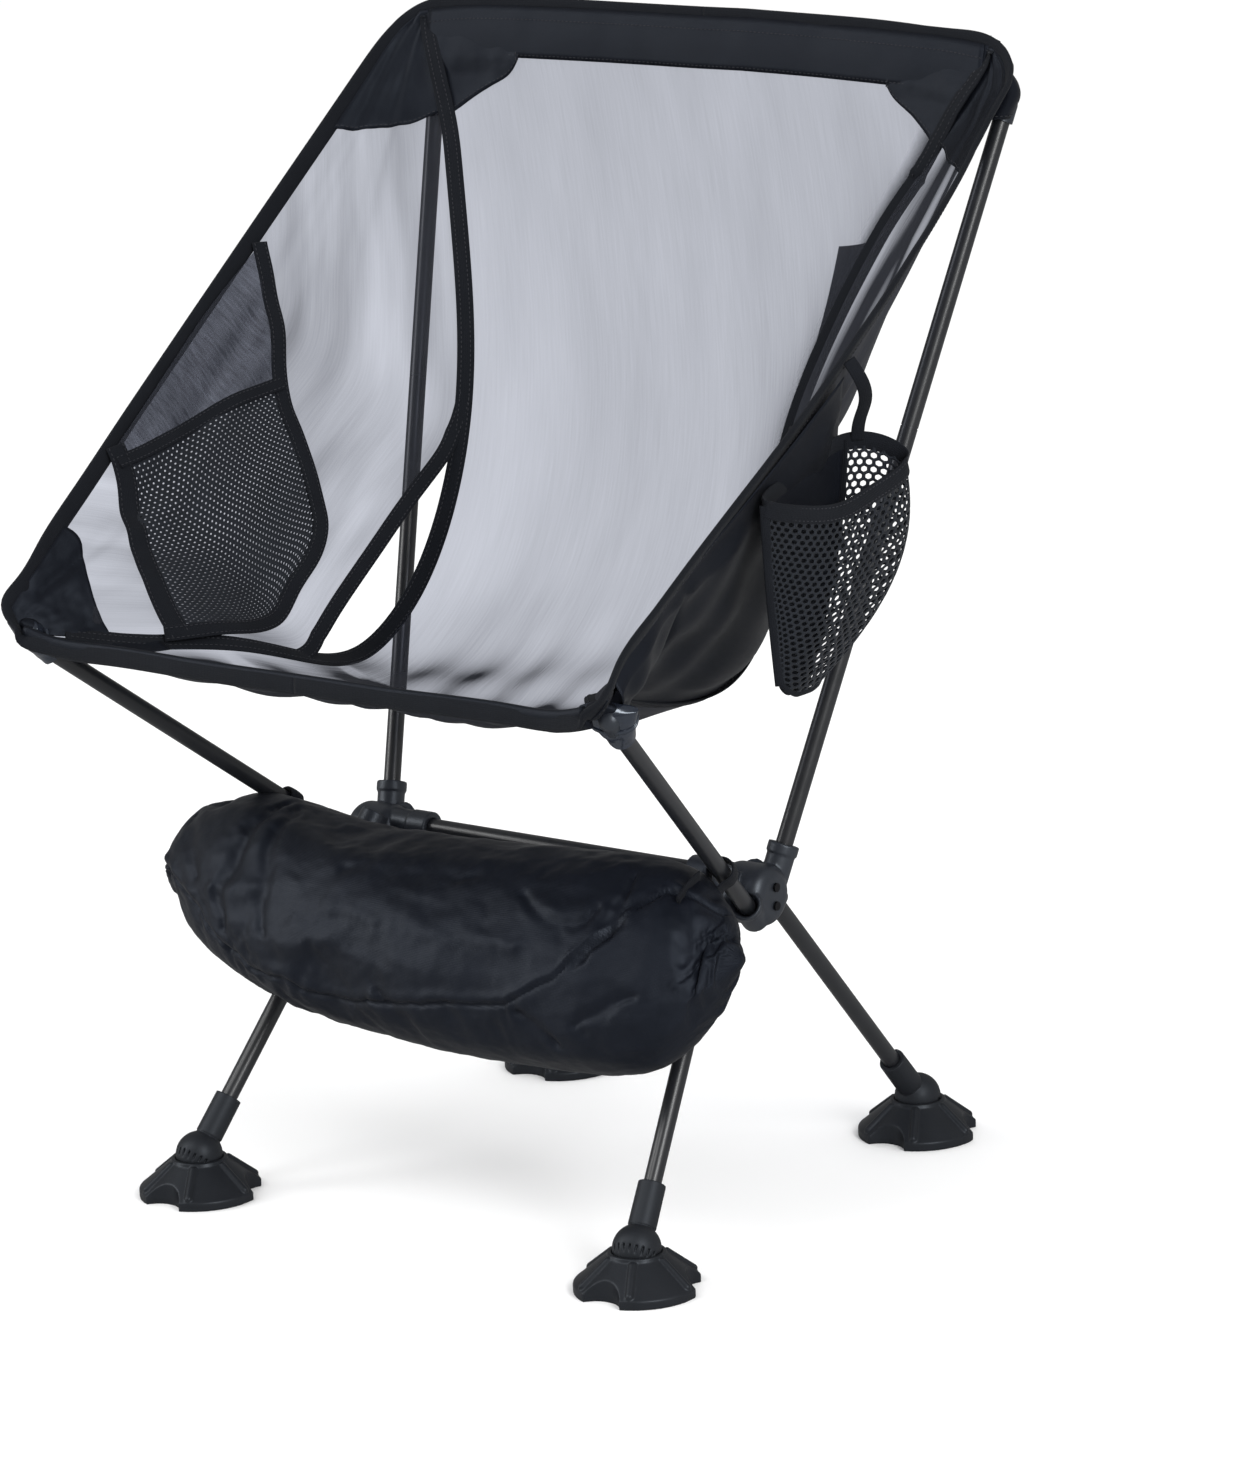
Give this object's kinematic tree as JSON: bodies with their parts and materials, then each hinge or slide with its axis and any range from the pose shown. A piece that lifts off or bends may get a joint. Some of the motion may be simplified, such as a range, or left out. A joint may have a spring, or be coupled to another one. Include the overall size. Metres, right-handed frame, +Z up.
{
  "type": "ultralight backpacking chair",
  "caption": "Low pole-frame camping chair: mesh bucket seat hung on shock-corded poles that plug into moulded hubs, with ball-jointed anti-sink feet and a storage bag.",
  "frame": {"origin": "middle of the chair's box, on the ground under the feet", "axes": "+Z up, the sitter faces -Y, +X is the sitter's left"},
  "size_m": [0.4822, 0.4378, 0.6713],
  "materials": {
    "pole": "black anodised aluminium tube, soft satin highlight",
    "ferrule": "plain drawn aluminium insert",
    "rivet": "blackened steel",
    "hub_plastic": "moulded glass-filled nylon, fine grain",
    "shock_cord": "braided elastic cord",
    "tip_rubber": "moulded rubber, satin",
    "foot_plastic": "moulded flexible plastic, satin",
    "sheer_mesh": "sheer black fine mesh, light shows through",
    "open_mesh": "coarse black hexagonal mesh",
    "corner_fabric": "coated black ripstop, slight sheen",
    "webbing": "woven black binding tape with stitching",
    "bag_nylon": "thin coated black nylon, wrinkled, slight blue-grey sheen"
  },
  "bodies": {
    "frame": {"crossbar": "pole", "hub_left": "hub_plastic", "hub_right": "hub_plastic", "hub_rivets_left": "rivet", "hub_rivets_right": "rivet", "rear_pole_lower_left": "pole", "rear_pole_lower_right": "pole", "rear_pole_upper_left": "pole", "rear_pole_upper_right": "pole", "rear_pole_ferrule_left": "ferrule", "rear_pole_ferrule_right": "ferrule", "front_pole_left": "pole", "front_pole_right": "pole", "rear_pole_cap_left": "hub_plastic", "rear_pole_cap_right": "hub_plastic", "front_pole_cap_left": "hub_plastic", "front_pole_cap_right": "hub_plastic", "upper_shock_cords_left": "shock_cord", "upper_shock_cords_right": "shock_cord", "seat_side_panel_left": "sheer_mesh", "seat_side_panel_right": "sheer_mesh", "side_binding_left": "webbing", "side_binding_right": "webbing", "seam_tape_left": "webbing", "seam_tape_right": "webbing", "vent_tape_left": "webbing", "vent_tape_right": "webbing", "rear_corner_pocket_left": "corner_fabric", "rear_corner_pocket_right": "corner_fabric", "front_corner_pocket_left": "corner_fabric", "front_corner_pocket_right": "corner_fabric", "seat_centre_panel": "sheer_mesh", "top_band": "webbing", "front_hem": "webbing", "stash_pocket_lining_right": "sheer_mesh", "stash_pocket_right": "open_mesh", "cup_pocket_left": "open_mesh", "cup_pocket_hem_left": "webbing", "cup_pocket_strap_left": "webbing"},
    "front_leg_left": {"front_leg_left": "pole", "front_leg_tip_left": "tip_rubber", "front_leg_cord_left": "shock_cord"},
    "front_leg_right": {"front_leg_right": "pole", "front_leg_tip_right": "tip_rubber", "front_leg_cord_right": "shock_cord"},
    "rear_leg_left": {"rear_leg_left": "pole", "rear_leg_tip_left": "tip_rubber", "rear_leg_cord_left": "shock_cord"},
    "rear_leg_right": {"rear_leg_right": "pole", "rear_leg_tip_right": "tip_rubber", "rear_leg_cord_right": "shock_cord"},
    "front_foot_left": {"front_foot_left": "foot_plastic"},
    "front_foot_right": {"front_foot_right": "foot_plastic"},
    "rear_foot_left": {"rear_foot_left": "foot_plastic"},
    "rear_foot_right": {"rear_foot_right": "foot_plastic"},
    "bag": {"storage_bag": "bag_nylon", "bag_strap_left": "webbing", "bag_strap_right": "webbing"}
  },
  "joints": [
    {"name": "front_leg_left_pull", "type": "slide", "parent": "frame", "child": "front_leg_left", "axis": [0.1366, -0.5972, -0.7904], "range_m": [0, 0.03], "stiffness_N_per_m": 80, "springref_m": -0.04},
    {"name": "front_leg_right_pull", "type": "slide", "parent": "frame", "child": "front_leg_right", "axis": [-0.1366, -0.5972, -0.7904], "range_m": [0, 0.03], "stiffness_N_per_m": 80, "springref_m": -0.04},
    {"name": "rear_leg_left_pull", "type": "slide", "parent": "frame", "child": "rear_leg_left", "axis": [0.0244, 0.6619, -0.7492], "range_m": [0, 0.03], "stiffness_N_per_m": 80, "springref_m": -0.04},
    {"name": "rear_leg_right_pull", "type": "slide", "parent": "frame", "child": "rear_leg_right", "axis": [-0.0244, 0.6619, -0.7492], "range_m": [0, 0.03], "stiffness_N_per_m": 80, "springref_m": -0.04},
    {"name": "front_foot_left_tilt", "type": "hinge", "parent": "front_leg_left", "child": "front_foot_left", "pos_m": [0.1625, -0.13507, 0.024], "axis": [1, 0, 0], "range_deg": [-10, 10]},
    {"name": "front_foot_right_tilt", "type": "hinge", "parent": "front_leg_right", "child": "front_foot_right", "pos_m": [-0.1625, -0.13507, 0.024], "axis": [1, 0, 0], "range_deg": [-10, 10]},
    {"name": "rear_foot_left_tilt", "type": "hinge", "parent": "rear_leg_left", "child": "rear_foot_left", "pos_m": [0.1365, 0.18243, 0.024], "axis": [1, 0, 0], "range_deg": [-10, 10]},
    {"name": "rear_foot_right_tilt", "type": "hinge", "parent": "rear_leg_right", "child": "rear_foot_right", "pos_m": [-0.1365, 0.18243, 0.024], "axis": [1, 0, 0], "range_deg": [-10, 10]},
    {"name": "bag_swing", "type": "hinge", "parent": "frame", "child": "bag", "pos_m": [0, -0.04203, 0.21927], "axis": [-1, 0, 0], "range_deg": [0, 12]}
  ]
}
